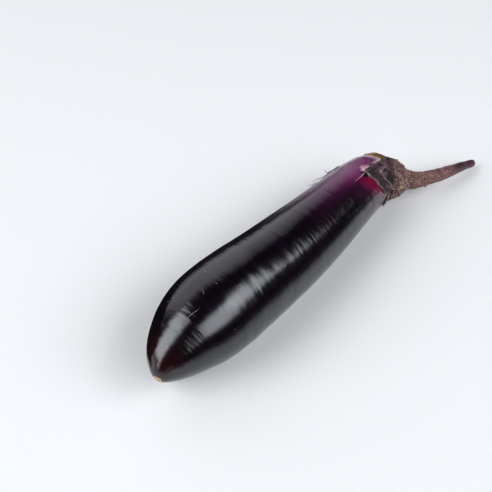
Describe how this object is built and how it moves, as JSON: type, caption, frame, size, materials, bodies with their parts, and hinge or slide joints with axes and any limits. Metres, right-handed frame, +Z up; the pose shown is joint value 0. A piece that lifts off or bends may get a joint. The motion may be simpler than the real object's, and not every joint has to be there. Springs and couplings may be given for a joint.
{
  "type": "eggplant",
  "caption": "Long purple eggplant with a lobed calyx and a bent tapering stem, lying on its side on a small flat.",
  "frame": {"origin": "under the middle of the whole piece, on the surface that it rests on", "axes": "+X along the fruit from its blossom end towards its stem, +Z up, +Y to the left of +X"},
  "size_m": [0.2586, 0.0535, 0.0481],
  "materials": {
    "skin": "glossy waxy skin, nearly black purple, magenta beside the calyx",
    "calyx": "dull wrinkled brown purple with tan flecks",
    "stem": "rough brown purple with tan flecks, smoother at the tip"
  },
  "bodies": {
    "root": {"fruit": "skin", "calyx": "calyx", "stem": "stem"}
  },
  "joints": []
}
